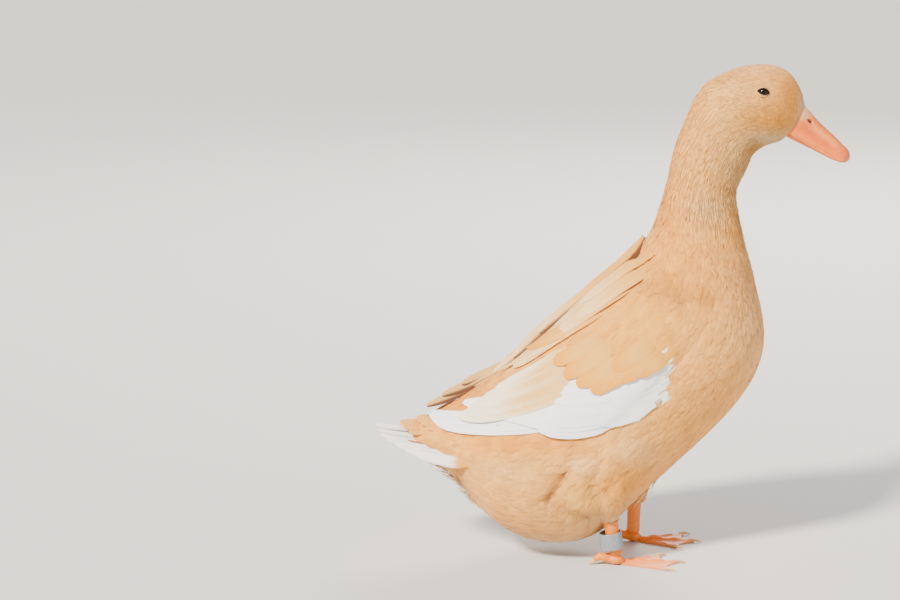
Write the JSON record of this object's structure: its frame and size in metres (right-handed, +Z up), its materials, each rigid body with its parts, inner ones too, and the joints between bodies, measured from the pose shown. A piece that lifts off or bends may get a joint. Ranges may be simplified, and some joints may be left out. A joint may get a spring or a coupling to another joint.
{
  "type": "buff orpington duck",
  "caption": "Still, life-size figure of a standing buff duck hen with upright neck, folded wings, webbed feet and a plain leg band, resting on its soles",
  "frame": {"origin": "on the floor under the middle of the bird's bounding box", "axes": "+X is the way the bird faces, +Y is its left side, +Z is up"},
  "size_m": [0.4499, 0.1748, 0.4716],
  "materials": {
    "plumage": "matt feathering, warm buff with a white wing band",
    "bill": "smooth waxy skin, pink orange",
    "eye": "wet and glossy, dark brown",
    "legs": "scaly skin, orange",
    "band": "plain light grey plastic"
  },
  "bodies": {
    "root": {"torso": "plumage", "neck": "plumage", "head": "plumage", "bill_upper": "bill", "bill_lower": "bill", "eye_right": "eye", "eye_left": "eye", "wing_right": "plumage", "wing_left": "plumage", "tail": "plumage", "thigh_right": "plumage", "thigh_left": "plumage", "shank_right": "legs", "shank_left": "legs", "foot_right": "legs", "foot_left": "legs", "leg_band": "band"}
  },
  "joints": []
}
